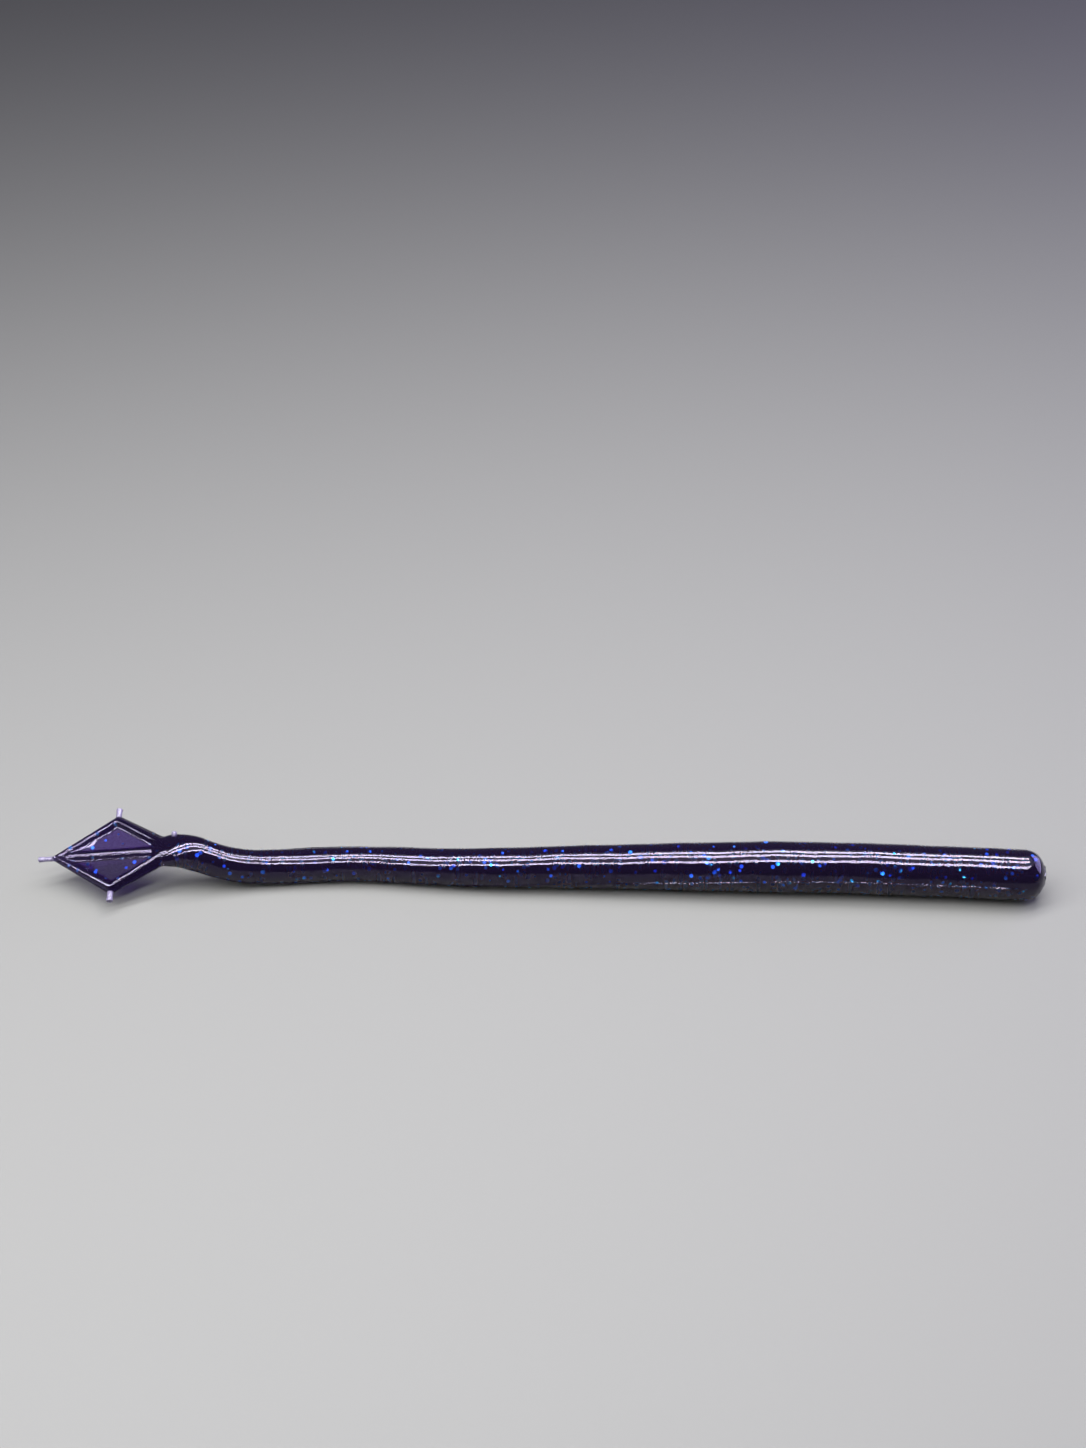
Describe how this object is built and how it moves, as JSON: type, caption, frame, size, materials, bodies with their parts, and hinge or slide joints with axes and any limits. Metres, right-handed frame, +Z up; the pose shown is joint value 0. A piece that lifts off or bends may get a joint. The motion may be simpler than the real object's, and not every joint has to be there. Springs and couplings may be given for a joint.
{
  "type": "soft plastic worm",
  "caption": "Slim soft plastic fishing worm with a round tapering body, a thin neck and a flat diamond paddle tail, that bends along its length.",
  "frame": {"origin": "middle of the bounding box in X and Y, on the surface that the worm lies on", "axes": "+X along the worm towards the nose, +Y away from the near side, +Z up"},
  "size_m": [0.1658, 0.0166, 0.01],
  "materials": {
    "plastisol_body": "glossy translucent deep purple soft plastic",
    "plastisol_tail": "glossy translucent deep purple soft plastic, thinner and so brighter",
    "plastisol_thin": "torn or flashed soft plastic, pale lilac where it is thin",
    "glitter_foil": "blue metallised film flakes"
  },
  "bodies": {
    "nose": {"nose": "plastisol_body", "gate_scar": "plastisol_thin", "glitter_nose": "glitter_foil"},
    "section_1": {"section_1": "plastisol_body", "glitter_1": "glitter_foil"},
    "section_2": {"section_2": "plastisol_body", "glitter_2": "glitter_foil"},
    "section_3": {"section_3": "plastisol_body", "glitter_3": "glitter_foil"},
    "section_4": {"section_4": "plastisol_body", "glitter_4": "glitter_foil"},
    "section_5": {"section_5": "plastisol_body", "glitter_5": "glitter_foil"},
    "section_6": {"section_6": "plastisol_body", "glitter_6": "glitter_foil"},
    "section_7": {"section_7": "plastisol_body", "glitter_7": "glitter_foil"},
    "section_8": {"section_8": "plastisol_body", "glitter_8": "glitter_foil"},
    "section_9": {"section_9": "plastisol_body", "glitter_9": "glitter_foil"},
    "section_10": {"section_10": "plastisol_body", "glitter_10": "glitter_foil"},
    "paddle": {"paddle_root": "plastisol_tail", "paddle_rim": "plastisol_tail", "paddle_rib": "plastisol_tail", "web_near": "plastisol_tail", "web_far": "plastisol_tail", "nub_tip": "plastisol_thin", "nub_near": "plastisol_thin", "nub_far": "plastisol_thin", "neck_bead": "plastisol_thin", "glitter_paddle": "glitter_foil"}
  },
  "joints": [
    {"name": "bend_1_pitch", "type": "hinge", "parent": "nose", "child": "section_1", "pos_m": [0.064, -0.00237, 0.0042], "axis": [0, 1, 0], "range_deg": [-30, 30], "stiffness_Nm_per_rad": 0.00266},
    {"name": "bend_2_turn", "type": "hinge", "parent": "section_1", "child": "section_2", "pos_m": [0.04622, -0.00144, 0.0042], "axis": [0, 0, 1], "range_deg": [-35, 35], "stiffness_Nm_per_rad": 0.00284},
    {"name": "bend_3_pitch", "type": "hinge", "parent": "section_2", "child": "section_3", "pos_m": [0.02963, -0.00101, 0.00404], "axis": [0, 1, 0], "range_deg": [-30, 30], "stiffness_Nm_per_rad": 0.00262},
    {"name": "bend_4_turn", "type": "hinge", "parent": "section_3", "child": "section_4", "pos_m": [0.01424, -0.00061, 0.00371], "axis": [0, 0, 1], "range_deg": [-35, 35], "stiffness_Nm_per_rad": 0.00201},
    {"name": "bend_5_pitch", "type": "hinge", "parent": "section_4", "child": "section_5", "pos_m": [0.00004, -0.00036, 0.0034], "axis": [0, 1, 0], "range_deg": [-30, 30], "stiffness_Nm_per_rad": 0.00155},
    {"name": "bend_6_turn", "type": "hinge", "parent": "section_5", "child": "section_6", "pos_m": [-0.01295, -0.00002, 0.00312], "axis": [0, 0, 1], "range_deg": [-35, 35], "stiffness_Nm_per_rad": 0.00121},
    {"name": "bend_7_pitch", "type": "hinge", "parent": "section_6", "child": "section_7", "pos_m": [-0.0247, 0.00101, 0.00287], "axis": [0, 1, 0], "range_deg": [-30, 30], "stiffness_Nm_per_rad": 0.00095},
    {"name": "bend_8_turn", "type": "hinge", "parent": "section_7", "child": "section_8", "pos_m": [-0.0353, 0.0012, 0.0028], "axis": [0, 0, 1], "range_deg": [-35, 35], "stiffness_Nm_per_rad": 0.00097},
    {"name": "bend_9_pitch", "type": "hinge", "parent": "section_8", "child": "section_9", "pos_m": [-0.04468, 0.00054, 0.0028], "axis": [0, 1, 0], "range_deg": [-30, 30], "stiffness_Nm_per_rad": 0.0011},
    {"name": "bend_10_turn", "type": "hinge", "parent": "section_9", "child": "section_10", "pos_m": [-0.05269, -0.00016, 0.0044], "axis": [0, 0, 1], "range_deg": [-35, 35], "stiffness_Nm_per_rad": 0.00127},
    {"name": "bend_11_pitch", "type": "hinge", "parent": "section_10", "child": "paddle", "pos_m": [-0.0593, -0.00016, 0.0067], "axis": [0, 1, 0], "range_deg": [-30, 60], "stiffness_Nm_per_rad": 0.00077}
  ]
}
